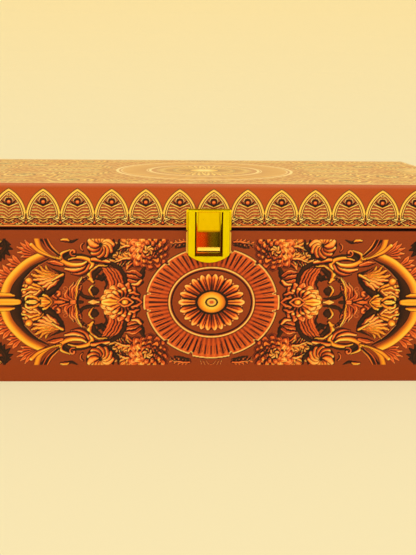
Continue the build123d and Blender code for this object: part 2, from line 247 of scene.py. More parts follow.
def bud(paper, centre, radius, inks=FLORAL, edge=0.3, squash=1.0):
    """A round bud or pearl: light falls off from its upper side towards a dark edge."""
    place, u, v = paper.window(np.subtract(centre, radius + 1), np.add(centre, radius + 1))
    x, y = u - centre[0], (v - centre[1]) / squash
    away = np.hypot(x, y)
    glow = np.hypot(x - 0.2 * radius, y - 0.25 * radius) / radius
    paper.fill(place, radius + edge - away, INK_DARK)
    paper.fill(place, radius - away, inks.at(1.05 - 0.65 * glow))


def polar(centre, radius, angle):
    """Points at radii and angles round a centre."""
    u, v = centre[0] + radius * np.cos(angle), centre[1] + radius * np.sin(angle)
    return np.stack([u, v], axis=1)


def spiral(centre, start_radius, end_radius, start_angle, end_angle, count):
    """Points of a scroll: the radius and the angle both change evenly."""
    angle = np.radians(np.linspace(start_angle, end_angle, count))
    radius = np.linspace(start_radius, end_radius, count)
    return polar(centre, radius, angle)


def fan(paper, base, reaches, angles, width, inks=FLORAL, bend=12.0, start=0.0, tip=0.2, veins=2,
        **tones):
    """Petals spread from a base: each is a stroke that leaves at its angle and bends outwards."""
    for k, (reach, angle) in enumerate(zip(np.broadcast_to(reaches, len(angles)), angles)):
        curl = bend * (2 * k / max(len(angles) - 1, 1) - 1)
        turns = np.radians([angle - curl * 0.3, angle, angle + curl * 0.5])
        radii = np.array([start, (start + reach) * 0.55, reach - tip * width / 2])
        points = polar(base, radii, turns)
        stroke(paper, points, (width * 0.35, width, tip * width), inks, veins=veins, **tones)


def acanthus(paper, spine, reach, lobes, width, inks=FLORAL, sides=(-1, 1), **tones):
    """A serrated leaf: lobes leave a smooth spine at an angle, the longest in its middle."""
    line = smooth_line(spine)
    slopes = np.gradient(line, axis=0)
    for k in range(lobes):
        share = (k + 0.4) / lobes
        spot = share * (len(line) - 1)
        root = np.array([np.interp(spot, range(len(line)), line[:, axis]) for axis in (0, 1)])
        slope = np.array([np.interp(spot, range(len(line)), slopes[:, axis]) for axis in (0, 1)])
        heading = math.atan2(slope[1], slope[0])
        size = reach * (0.45 + 0.75 * math.sin(math.pi * (0.2 + 0.7 * share)))
        for side in sides:
            first = heading + side * math.radians(LOBE_LEAN * 0.6)
            last = heading + side * math.radians(LOBE_LEAN * 1.15)
            knee = root + size * 0.5 * np.array([math.cos(first), math.sin(first)])
            tip = knee + size * 0.5 * np.array([math.cos(last), math.sin(last)])
            stroke(paper, (root, knee, tip), (width * 0.5, width, width * 0.7, 0.1), inks, **tones)
    stroke(paper, spine, (width * 0.5, width * 0.8, 0.1), inks, **tones)


def swirl(paper, centre, radius, petals, inks=FLORAL):
    """A swirling rosette: curved petals round a centre, drawn one after another."""
    bud(paper, centre, radius, SHADE, edge=0.2)
    for k in range(petals):
        angle = 360 * k / petals
        points = spiral(centre, radius * 0.14, radius * 0.84, angle, angle + 50, 4)
        stroke(paper, points, (0.3, radius * 0.34, radius * 0.44, radius * 0.28), inks, low=0.2)


def ring(paper, centre, radii, width, colour):
    """An elliptical line: the scaled distance from the centre, held between two limits."""
    reach = np.array(radii) + width + 1
    place, u, v = paper.window(np.subtract(centre, reach), np.add(centre, reach))
    x, y = (u - centre[0]) / radii[0], (v - centre[1]) / radii[1]
    scaled = np.hypot(x, y)
    slope = np.hypot(x / radii[0], y / radii[1]) / np.maximum(scaled, 1e-6)
    gap = np.abs(scaled - 1) / np.maximum(slope, 1e-6)
    paper.fill(place, width / 2 - gap, colour)


# The base's print, in millimetres: its middle on the front, the pitch of its drawing, how much
# smaller it stands on the box than it is drawn, and the half height of its ornament
BASE_PRINT_CENTRE = (1.71, 37.28)
BASE_DRAWN_PITCH = 0.15
PRINT_STRETCH = 0.989
PRINT_HALF_HEIGHT = 29.8

# The lid's border: the pitch of its drawing and of its mesh, one arch's pitch, where the row
# starts, the arch's half width, the heights of its spring and tip, and the heights on the
# paper over which it fades into the painted highlight of the rounded top edge
ARCH_DRAWN_PITCH = 0.08
BORDER_PITCH = 0.23
ARCH_PITCH = 15.7
ARCH_OFFSET = 2.25
ARCH_HALF = 7.6
ARCH_SPRING = 4.7
ARCH_APEX = 17.7
BORDER_HIGHLIGHT_FADE = (18.5, 20.2)

# The lid's top print: the pitch of its drawing, the middle of its round ornament, its two hoops
TOP_DRAWN_PITCH = 0.2
TOP_CENTRE = (1.3, 0.0)
TOP_HOOPS = (46.4, 29.0)

# Medallion of the base print: half width and half height of each part, in millimetres
BURST_RADII = (31.0, 26.2)
BURST_STEPS = (9.0, 46.0, 72.0)
BURST_TICKS = 64
HOOP_RADII = (19.90, 16.45)
ROSETTE_RADII = (16.4, 14.0)
ROSETTE_PETALS = 20
BOSS_RADII = (6.5, 4.9)


def burst_outline(angle):
    """How far the sunburst's edge stands out past its ellipse: tabs on the axes, steps between."""
    tabs = 0.9 * (angle < BURST_STEPS[0]) + 0.5 * (angle > BURST_STEPS[2])
    notches = sum(held((1.8 - np.abs(angle - step)) * 1.2) for step in BURST_STEPS)
    return tabs - 1.3 * notches


def oval(u, v, radii):
    """The distance from the centre in shares of an ellipse's radius, and its mean radius."""
    return np.hypot(u / radii[0], v / radii[1]), math.sqrt(radii[0] * radii[1])


def sunburst(paper):
    """The notched sunburst, its hoop, the rosette and the boss, in scaled polar coordinates."""
    place, u, v = paper.window((-1, -1), np.add(BURST_RADII, 3))
    scaled, mean = oval(u, v, BURST_RADII)
    angle = np.degrees(np.arctan2(v / BURST_RADII[1], u / BURST_RADII[0]))
    inside = (1 - scaled) * mean + burst_outline(angle)
    paper.lay(place, (inside + 0.55) / paper.pitch, INK_DARK)
    tick = angle / 360 * BURST_TICKS
    wave = np.abs((tick % 1) - 0.5) * 2
    uneven = (np.sin(np.floor(tick) * 12.9898) * 43.7) % 1
    body = 0.42 + 0.24 * held(1 - wave * 1.1) + 0.7 * (scaled - 0.85)
    paper.fill(place, inside, RUSSET.at(body))
    paper.trace(place, inside, 0.3, 0.6, "#FFB95A")
    dark = held((wave - 0.48 - 0.22 * uneven) * 5)
    fine = held((0.16 - wave) * 9) * (np.floor(tick) % 3 > 0)
    scratch = held((np.abs((tick * 1.73 + 0.3) % 1 - 0.5) * 2 - 0.66) * 5) * (uneven > 0.3)
    # Rays between two shares of the radius; their inner ends are uneven from tick to tick
    for cover, start, jitter, end, strength, colour in (
        (dark, 0.66, 0.12, 0.962, 1, "#2E1606"), (fine, 0.78, 0.1, 0.93, 0.8, "#4A2209"),
        (scratch, 0.68, 0.1, 0.95, 0.55, "#4A1C08"),
    ):
        inner = held((scaled - start - jitter * uneven) * 40)
        outer = held((end - scaled) * 50)
        paper.lay(place, cover * inner * outer * strength, colour)
    hoop, hoop_mean = oval(u, v, HOOP_RADII)
    paper.fill(place, (1.045 - hoop) * hoop_mean, INK_DARK)
    paper.fill(place, (1.02 - hoop) * hoop_mean, GROUND_PANEL)
    for inset, width, colour in ((0, 0.9, "#D8741E"), (0, 0.5, "#FFC660"), (1.15, 0.7, INK_DARK)):
        ring(paper, (0, 0), np.subtract(HOOP_RADII, inset), width, colour)
    stretch = ROSETTE_RADII[1] / ROSETTE_RADII[0]
    petal = np.array([0.3, 0.62, 0.8, 0.9]) * ROSETTE_RADII[0]
    for shift, reach, inks in ((0.5, 0.94, RUSSET), (0.0, 1.0, FLORAL)):
        for k in range(-1, ROSETTE_PETALS // 4 + 2):
            angle = (k + shift) * 360 / ROSETTE_PETALS
            # The upright petal stands a little aside, where the two quarters meet
            turn = math.radians(84 if angle == 90 else angle)
            points = polar((0, 0), petal, turn) * (1, stretch) * reach
            stroke(paper, points, (0.9, 2.9, 3.7, 1.8), inks, low=0.04, high=0.86, rise=0.66,
                   edge=0.26, veins=2)
    boss, boss_mean = oval(u, v, BOSS_RADII)
    paper.fill(place, (1.2 - boss) * boss_mean / 2, INK_DARK)
    gloss = GILT_BAND.at(1.25 - 0.8 * boss**2 + 0.02 * (v - u))
    paper.fill(place, (1 - boss) * boss_mean, gloss)
    paper.trace(place, boss * boss_mean, 0.4 * boss_mean, 0.84, "#6A260A")
    paper.fill(place, (0.24 - boss) * boss_mean, "#F0A048")
    paper.fill(place, (0.14 - boss) * boss_mean, "#D8601C")


def blot(paper, points, widths):
    """A soft-ended dark shadow between the leaves."""
    stroke(paper, points, widths, SHADE, edge=0.1, rise=0)


def spray(paper):
    """Shaggy flower with its leafy fringe, and the small leaves by the latch."""
    blot(paper, ((30, 29), (38, 26), (47, 22)), (4, 7, 1.5))
    blot(paper, ((28, 19), (36, 19), (44, 18.6)), (3, 5, 1.5))
    reaches = (10.5, 13, 14.6, 15.4, 16, 15.6, 15, 13.5, 11.5)
    fan(paper, (31, 22.5), reaches, np.linspace(50, -30, 9), 3.6, bend=-14, start=4, veins=3,
        edge=0.25)
    acanthus(paper, ((33, 20.4), (40, 20.6), (46.5, 18.6)), 3.8, 6, 1.7)
    acanthus(paper, ((34, 26.6), (40, 26.4), (44.6, 24.4)), 3.2, 5, 1.5)
    for radius, petals, width, inks in (
        (9.6, 15, 5.4, RUSSET), (7.2, 12, 4.4, FLORAL), (4.8, 9, 3.2, RUSSET),
    ):
        angles = np.linspace(190, -150, petals) + radius * 3
        reaches = radius * (1 + 0.07 * np.cos(np.arange(petals) * 2.3))
        fan(paper, (29.4, 24.4), reaches, angles, width, inks, bend=0, start=1, tip=0.8, veins=3,
            edge=0.16)
    swirl(paper, (29.8, 24.4), 2.6, 6)
    blot(paper, ((26.2, 26), (26, 23.8), (27.4, 21.6)), (0.3, 0.9, 0.3))
    acanthus(paper, ((10, 28.6), (14, 28.4), (19.5, 27.6)), 2, 5, 1.2, RUSSET)
    blot(paper, ((9.5, 27.4), (13, 26.6), (17.5, 25.6)), (0.3, 1.2, 0.3))
    for radius in (2, 3.4, 4.8):
        stroke(paper, spiral((0, 27.6), radius, radius, 100, 5, 6), (0.3, 0.35, 0.3), RUSSET,
               edge=0.12)


def lotus(paper):
    """Flower head on the middle line between two arching leaves, with the buds around it."""
    blot(paper, ((31.6, 16.6), (33.2, 12.4), (34.6, 9.2), (38.4, 8.4)), (1.2, 3.2, 2.6, 1))
    for leaf in (
        ((33.6, 10.4), (37.4, 9.6), (41, 11.8)), ((33.4, 11.4), (37.2, 12), (41.6, 13.4)),
        ((33.4, 12.6), (36, 14.2), (40.6, 14.4)),
    ):
        stroke(paper, leaf, (1.6, 2.4, 0.3), RUSSET, veins=2)
    stroke(paper, ((33, 9.8), (35, 8.4), (38.2, 8.2)), (1.6, 1.8, 0.3))
    blot(paper, ((55.6, 18.6), (50, 19), (44, 16.4), (40.6, 11.4), (40.2, 6)),
         (0.8, 2.2, 2.2, 2, 1))
    for shift in (0, 1.5, 3, 4.5):
        leaf = ((42.6 + shift, 3.4), (42.6 + shift, 9.6), (45.2 + shift, 14.6), (51, 16.6))
        stroke(paper, leaf, (2.4, 3, 2.6, 0.5), RUSSET, low=0.2, veins=2, rise=-0.1, edge=0.25)
    blot(paper, ((50, 6), (49.4, 9.6), (51.6, 12.4)), (0.6, 1, 0.4))
    fan(paper, (51.6, 10.4), (2.8, 3.4, 3.2, 2.6), (30, 62, 94, 126), 1.2, SHADE, bend=20)
    blot(paper, ((51, 15.6), (54.6, 14), (55.2, 11.2)), (0.4, 2.8, 1.4))
    stroke(paper, ((48.8, 17.2), (53.4, 16.8), (56.8, 14.4), (57.4, 11.8), (55.6, 9.6)),
           (0.4, 1.2, 2, 2.4, 1), BRIGHT)
    fan(paper, (40.6, 0), (7.6, 8.6, 9.4, 9.6, 9.2), (146, 122, 98, 74, 52), 4.8, RUSSET, bend=-8,
        start=2, tip=0.4)
    fan(paper, (41.6, 0), (9.2, 10.2, 10.6), (50, 30, 12), 5.4, bend=-6, start=1.6, tip=0.7,
        low=0.08, veins=3)
    fan(paper, (40.8, 0), (6.6, 6.8, 7), (140, 112, 84), 3.6, start=1.6, tip=0.6)
    fan(paper, (41.6, 0), (6.4, 7.2, 8.2), (66, 44, 22), 4.2, bend=-4, start=1.2, tip=0.9, low=0.1)
    stroke(paper, ((43.6, 0), (48, 0), (50.6, 0)), (1.6, 4, 2.4), BRIGHT, low=0.2, veins=2)
    stroke(paper, ((32.8, 0), (35, 1.5), (37.6, 2)), (0.8, 1.6, 0.6), RUSSET)
    stroke(paper, ((34, 3.4), (36.4, 4.2), (38.4, 4)), (0.4, 1.6, 0.6), RUSSET)
    bud(paper, (40.2, 0), 3.3, SHADE, squash=0.72)
    stroke(paper, ((44, 0), (40.4, 1.9), (36.8, 0)), (0.8, 1.1, 0.5), RUSSET, low=0.3)
    bud(paper, (40.6, 0), 1.5, BRIGHT, squash=0.7)
    bud(paper, (54.8, 5.3), 2, SHADE, edge=0.1)
    stroke(paper, spiral((54.4, 5.3), 2.7, 2.7, -75, 75, 5), (0.2, 1.3, 0.2), BRIGHT)
    blot(paper, ((62.4, 8), (61.6, 4.4), (58.2, 2.2), (53, 1.8)), (0.4, 1.8, 1.8, 0.6))
    stroke(paper, ((57.8, 0), (55.4, 0), (52.6, 0)), (0.3, 2.2, 0.3), rise=0)


def flame(paper):
    """Upright leaves beside the flower head and the twig that joins them to the fleur."""
    blot(paper, ((60.6, 0), (62, 0), (63.6, 0)), (1.4, 1.6, 1))
    for leaf in (
        ((64.6, 0.6), (66.8, 4), (64.6, 9.4)), ((64, 0.6), (64.8, 5.4), (61.4, 11.4)),
        ((64.8, 0.4), (68, 2.6), (67.4, 6.6)), ((63.6, 0.6), (62.8, 4.4), (60.8, 7.6)),
    ):
        stroke(paper, leaf, (1.4, 2.4, 0.3), RUSSET, veins=2)
    acanthus(paper, ((63.8, 1), (63.6, 6), (61.8, 10), (58.4, 12.6)), 1.9, 7, 1.2, RUSSET,
             sides=(1,))
    stroke(paper, ((63.5, 0.6), (63.1, 4.9), (62.4, 8.7), (60.6, 11.6)), (0.6, 1, 0.9, 0.3), BRIGHT,
           edge=0.2)
    for spot, radius, width in (((68.5, 6.5), 0.9, 0.4), ((69.4, 4.6), 0.5, 0.3)):
        ring(paper, spot, (radius, radius), width, "#C05A22")
    stroke(paper, ((64, 0.2), (67.6, 0.2), (74.2, 0.2)), (1.4, 0.9, 0.5), RUSSET, rise=0)
    stroke(paper, ((67, 0.6), (70.2, 1.6), (73.6, 2.6)), (0.8, 1.1, 0.5), RUSSET)
    stroke(paper, spiral((72.2, 3.6), 2.1, 0.7, -80, 220, 7), (0.8, 1.4, 1.6), RUSSET, low=0.25)


def palmette(paper):
    """Fleur on the middle line and the leafy fans with a pearl above it."""
    blot(paper, ((69.4, 12.6), (71.6, 8.2), (76.4, 3.8), (82, 1.6), (88, 1)),
         (1.8, 2.6, 3.2, 3.4, 2.2))
    blot(paper, ((76, 8.6), (82, 7.6), (88.6, 5.6)), (2, 5, 2.4))
    blot(paper, ((69.4, 13.6), (70.4, 13.8), (76, 16.6)), (1.4, 1, 0.3))
    for tip, width in (
        ((77.6, 16.6), 2.2), ((80.6, 17), 2.8), ((82.4, 15.2), 2.9), ((84, 12.8), 2.9),
    ):
        knee = (0.5 * (tip[0] + 70.4) + 1.2, 0.5 * (tip[1] + 12) - 1)
        stroke(paper, ((70.2, 12.2), knee, tip), (1.8, width, 0.9), BRIGHT, veins=3, low=0)
    for tip, width in (((84.6, 10.2), 2.6), ((83, 7.8), 2.9), ((80, 6.2), 2.7), ((77, 6), 2.2)):
        knee = (0.5 * (tip[0] + 70.6), 0.5 * (tip[1] + 11.6) - 0.4)
        stroke(paper, ((70.2, 11.8), knee, tip), (1.8, width, 0.8), veins=3, low=0.05)
    stroke(paper, ((69.6, 12.6), (71.6, 11.8), (74.6, 10.2)), (1.6, 1.6, 0.5), BRIGHT)
    for leaf, inks in (
        (((79, 5.8), (84, 8), (88.6, 7.6)), BRIGHT),
        (((79, 5.2), (84.6, 6.2), (89.6, 5)), BRIGHT),
        (((79.4, 4.4), (84.4, 4), (88, 2.8)), FLORAL),
        (((80, 5), (82.6, 2.8), (84.6, 3.2)), FLORAL),
    ):
        stroke(paper, leaf, (1.8, 2.8, 0.9), inks, veins=2, low=0)
    for spot in ((86.6, 7.6), (87.6, 4.6), (84.4, 3)):
        bud(paper, spot, 0.9)
    bud(paper, (85.4, 9.7), 1.6, BRIGHT)
    stroke(paper, ((74.4, 0), (78.6, 0), (82.6, 0), (86.6, 0)), (0.6, 4.6, 3.2, 0.8), BRIGHT,
           low=0.3, veins=3)
    stroke(paper, ((80.6, 0.8), (83.4, 2.4), (86.2, 2.2), (87, 1)), (1, 1.5, 1.1, 0.6), BRIGHT,
           low=0.2)
    stroke(paper, ((74.6, 0.2), (77.2, 2.6), (78.6, 3.4)), (0.4, 1.1, 0.9), BRIGHT)
    blot(paper, ((82.4, 1.2), (84.4, 1.3), (85.8, 1)), (0.2, 0.5, 0.2))


def curls(paper):
    """S-shaped leaves, the gold horn's small leaves and the swirling rosette."""
    blot(paper, ((57, 20.8), (62, 21.6), (67.4, 20.6), (68.4, 17.6)), (2, 2.6, 3, 1.2))
    blot(paper, ((64.6, 24.4), (67.4, 23.6), (69.6, 21.6)), (1, 2.2, 1.6))
    stroke(paper, ((65.6, 13.6), (61.8, 13.6), (58.4, 15.4), (57, 18)), (0.5, 2.2, 2.4, 0.8),
           RUSSET, rise=-0.3)
    stroke(paper, ((68.6, 15.6), (64.4, 15), (60.6, 16), (58.6, 18.2)), (0.7, 2.2, 2, 0.8),
           rise=-0.3)
    stroke(paper, ((67, 20), (62.6, 20.9), (58, 20), (55.8, 17.8), (57.2, 15.6)),
           (0.6, 1.7, 2, 1.8, 0.5), BRIGHT)
    stroke(paper, ((66.2, 24.6), (70.2, 22.6), (70, 19.4), (66, 17.5), (61.2, 17.6), (58.6, 19)),
           (0.6, 1.6, 2.2, 2.2, 1.7, 0.6), BRIGHT, low=0.1)
    stroke(paper, spiral((64.8, 23.4), 1.9, 0.6, -120, 170, 7), (0.4, 0.9, 1.1), RUSSET)
    stroke(paper, ((76.8, 18.9), (73.6, 18.6), (69.8, 17.6)), (0.4, 2.4, 1.2), RUSSET, veins=2,
           low=0.25)
    blot(paper, ((56, 21.6), (51, 22), (45.6, 20.4)), (0.6, 1.6, 1))
    stroke(paper, ((55.9, 20), (52.4, 19.8), (48, 19)), (1.8, 2.2, 1), low=0.15)
    blot(paper, ((46.4, 24), (44, 26.4), (43.6, 29.4)), (1.4, 1.8, 0.6))
    blot(paper, ((47.4, 23.2), (51.6, 20.9), (57, 23.6)), (2, 2.4, 1.2))
    swirl(paper, (52, 27.2), 6.6, 11)
    stroke(paper, spiral((59.4, 26), 2, 2, 70, -60, 5), (0.3, 0.8, 0.3), RUSSET)
    blot(paper, ((68, 29), (65.4, 28.6), (62.6, 29.8)), (1.4, 1.4, 0.3))
    stroke(paper, ((70.6, 29.2), (68.4, 29.4), (66.8, 28.9)), (0.5, 1.8, 0.5), BRIGHT, rise=0)


def oval_band(paper):
    """Gold oval band with its tie, the horn it springs from and the leaves outside it."""
    for root, reaches, angles, width in (
        ((80.4, 22), (9, 10.6, 11.4, 11, 10), (-2, 9, 20, 31, 42), 2.4),
        ((87.4, 16.6), (7.4, 8.6, 9, 8), (-8, 8, 24, 40), 2.5),
        ((91.6, 11.6), (8.6, 9.4, 9.4, 8.4), (-14, 4, 22, 40), 2.7),
        ((94.4, 6), (7.6, 8.4, 8.4), (-14, 6, 26), 2.8),
    ):
        fan(paper, root, reaches, angles, width, RUSSET, bend=8, start=2, low=0.42, rise=0.25,
            edge=0.15)
    blot(paper, ((76.2, 20.4), (83.4, 16.6), (88.4, 11.6), (91.4, 6.2), (91.8, 3)),
         (0.4, 1.4, 2.4, 5, 6))
    stroke(paper, ((76.6, 19.4), (82.8, 15.5), (87.4, 10.8)), (0.2, 0.3, 0.2), RUSSET, edge=0.1)
    stroke(paper, ((78.6, 22.4), (85.4, 18.9), (90.8, 14.2), (94.8, 9), (96.8, 3.6)),
           (3.2, 3.6, 3.9, 4, 4.1), GILT_BAND, edge=0.1, low=0.3, rise=0.05)
    blot(paper, ((78.6, 29.8), (76, 26.2), (71, 21.8)), (3, 2.4, 0.5))
    stroke(paper, ((76.8, 29.8), (74.6, 26), (71.2, 22.6)), (0.6, 0.8, 0.2), edge=0.2)
    stroke(paper, ((78.8, 29.8), (76.6, 25.6), (72.6, 22)), (0.4, 0.6, 0.2), RUSSET, edge=0.2)
    stroke(paper, ((82, 30.4), (80.2, 25.2), (76.2, 21.7), (70.6, 20.2)), (2.8, 2.5, 1.8, 0.6),
           GILT_BAND, edge=0.25, low=0.2, rise=0)
    stroke(paper, ((84.2, 26.8), (80.4, 23.6), (73.2, 20.6)), (2, 1.6, 0.4), BRIGHT, edge=0.25,
           rise=0)
    stroke(paper, ((92.2, 2.9), (98, 3.2), (128, 3.2)), (0.8, 2.3, 2.3), GILT_BAND, low=0.15,
           rise=0)
    stroke(paper, ((89.6, 0), (93.6, 0), (128, 0)), (0.6, 3, 3), GILT_BAND, low=0.15, rise=0)


def print_ends(paper):
    """Scrolls and leaves that close the print towards the box's ends."""
    acanthus(paper, ((97, 29.6), (96.4, 25.4), (99.4, 21.4)), 3.4, 5, 1.5, SHADE)
    acanthus(paper, ((102, 29.6), (101, 26.6), (103, 24)), 2.6, 5, 1.5, SHADE)
    fan(paper, (98, 28.6), (3.6, 4.2, 3.6), (20, -8, -36), 1.1, BRIGHT, low=0)
    stroke(paper, spiral((106.5, 16.4), 9, 2, -100, 330, 12), (2.4, 2.6, 2.2, 1.4), GILT_BAND,
           rise=0)
    acanthus(paper, ((107, 28), (113, 26), (117.6, 20)), 4.6, 6, 2)
    acanthus(paper, ((114.4, 17), (116.6, 10.6), (113.4, 5.6)), 4.2, 6, 1.8, RUSSET)
    swirl(paper, (122.5, 26.4), 5, 10, BRIGHT)
    fan(paper, (127.4, 10.5), (7, 8.4, 9, 8.4, 7), (120, 150, 180, 210, 240), 3, start=2)
    bud(paper, (127.2, 10.5), 2.4, BRIGHT)
    bud(paper, (106.5, 16.4), 1.9, BRIGHT)


def drift(paper):
    """Moves the leaves a little to and fro, as a brush does: waves of 2 to 5 mm, 0.2 mm high."""
    rows, columns = np.indices(paper.ink.shape[:2])
    u, v = columns * paper.pitch, rows * paper.pitch
    across = 0.15 * np.sin(1.5 * v + 1.4 * np.sin(0.8 * u)) + 0.07 * np.sin(2.9 * v - 1.1 * u)
    along = 0.15 * np.sin(1.3 * u + 1.2 * np.sin(0.9 * v + 2)) + 0.07 * np.sin(3.1 * u + 0.9 * v)
    fade = held(v / 3) * held((PRINT_HALF_HEIGHT - v) / 2)
    rows = np.clip(np.rint(rows + fade * along / paper.pitch), 0, rows.max()).astype(int)
    columns = np.clip(np.rint(columns + fade * across / paper.pitch), 0, columns.max()).astype(int)
    paper.ink[:] = paper.ink[rows, columns]


def crisp(paper, reach, strength):
    """Raises the contrast along the print's lines: a colour moves away from the mean round it."""
    steps = max(1, round(reach / paper.pitch))
    mean = paper.ink
    for axis in (0, 1):
        shifted = [np.roll(mean, step, axis) for step in range(-steps, steps + 1)]
        mean = sum(shifted) / len(shifted)
    paper.ink[:] = np.clip(paper.ink + strength * (paper.ink - mean), 0.004, 1)


def draw_base_print():
    """One quarter of the base's print, with plain borders above and below the ornament.

    u runs from the medallion's centre to the box's end and v up from the print's middle line.
    The leaves, scrolls and flowers come first, then the medallion over them.
    """
    paper = Paper(130, 39, BASE_DRAWN_PITCH, GROUND_PANEL)
    for part in (spray, lotus, flame, palmette, drift, curls, oval_band, print_ends, sunburst):
        part(paper)
    crisp(paper, 0.45, 0.55)
    paper.ink[paper.v > PRINT_HALF_HEIGHT] = linear(GROUND)
    return paper


def draw_border_print():
    """Half an arch of the lid's border: u from the arch's middle line, v up from the lid's foot."""
    paper = Paper(ARCH_PITCH / 2 + Paper.MARGIN, 22, ARCH_DRAWN_PITCH, BORDER_GROUND)
    place, u, v = paper.window((-1, -1), (10, 23))
    rise = ARCH_APEX - ARCH_SPRING
    radius = (ARCH_HALF**2 + rise**2) / (2 * ARCH_HALF)
    curved = radius - np.hypot(u - (ARCH_HALF - radius), v - ARCH_SPRING)
    inside = np.where(v > ARCH_SPRING, curved, ARCH_HALF - u)
    paper.fill(place, inside, "#B45A26")
    paper.trace(place, inside, -0.62, 0.3, "#6A5420")
    chevron = (v - 0.42 * u - 0.7 * np.sin(np.clip(u * 0.75, 0, 3.6)) - 0.2) / 1.42 % 1
    for start, end, colour in (
        (0, 0.24, "#4A3212"), (0.24, 0.52, "#F6BC58"),
        (0.52, 0.64, "#6A2C0E"), (0.64, 0.86, "#C05826"),
    ):
        cover = held((chevron - start) * 20) * held((end - chevron) * 20)
        cover *= held((inside - 1.6) / 0.2) * (v < 10.6) * (v > 4.2)
        paper.lay(place, cover, colour)
    for at, width, colour in (
        (0.12, 0.85, "#FFC84A"), (0.72, 0.35, "#7C320E"),
        (1.2, 0.42, "#F4BC5A"), (1.62, 0.3, "#5A3C14"),
    ):
        cover = (width / 2 - np.abs(inside - at)) / paper.pitch + 0.5
        paper.lay(place, cover * (v > 4.3), colour)
    bud(paper, (0, 12.3), 1.45, SHADE, edge=0.1)
    bud(paper, (0, 12), 0.85, RUSSET, edge=0.25)
    for leaf, widths, inks, low, edge in (
        (((0.2, 10.2), (1.6, 11), (3.2, 12.6)), (0.9, 1, 0.3), SHADE, 0.12, 0.1),
        (((0, 9.6), (1.8, 10.4), (4.4, 11.6)), (0.5, 0.6, 0.3), BORDER, 0.5, 0.15),
        (((0.2, 14), (1.3, 13.8), (2, 12.4)), (0.3, 0.45, 0.2), BORDER, 0.4, 0.1),
        (((0, 14.6), (0.7, 15), (0.1, 15.6)), (0.3, 0.4, 0.2), BORDER, 0.4, 0.1),
    ):
        stroke(paper, leaf, widths, inks, low=low, edge=edge)
    paper.lay(place, (v < 4.9) * (v > 1.3) * 0.55, "#6A2C10")
    for leaf, inks in (
        (((8, 1.8), (6.4, 3.4), (4.2, 4.4)), BORDER), (((8, 2.6), (7.2, 4.4), (6.2, 5.6)), BORDER),
        (((7, 1.6), (4.8, 2.2), (2.6, 3.6)), RUSSET), (((5.4, 1.5), (3.2, 1.8), (1, 3)), BORDER),
        (((0, 1.6), (2, 1.9), (4.6, 3.2)), RUSSET), (((0, 2.8), (1.6, 3.6), (4, 5.4)), BORDER),
        (((0, 4.2), (2, 4.6), (5.4, 5)), BORDER), (((3, 1.4), (4.6, 1.7), (6.4, 2.8)), BORDER),
    ):
        stroke(paper, leaf, (0.3, 0.62, 0.2), inks, low=0.35, edge=0.25, rise=0.1)
    hook = ((7, 6.2), (7.3, 5.2), (6.6, 4.3), (5.8, 4.6))
    stroke(paper, hook, (0.7, 0.8, 0.7, 0.5), BORDER, low=0.6, edge=0.2)
    stroke(paper, ((8.08, 6.6), (8.08, 5), (8.08, 3.6)), (0.3, 0.9, 0.3), RUSSET, low=0.3,
           edge=0.25)
    bud(paper, (ARCH_PITCH / 2, 2.5), 0.6, RUSSET)
    for at, width, colour in (
        (1.1, 0.4, "#EAA044"), (1.45, 0.22, "#6A2C10"), (0.75, 0.25, "#A8440E"),
    ):
        paper.trace(place, v, at, width, colour)
    crisp(paper, 0.3, 0.5)
    return paper


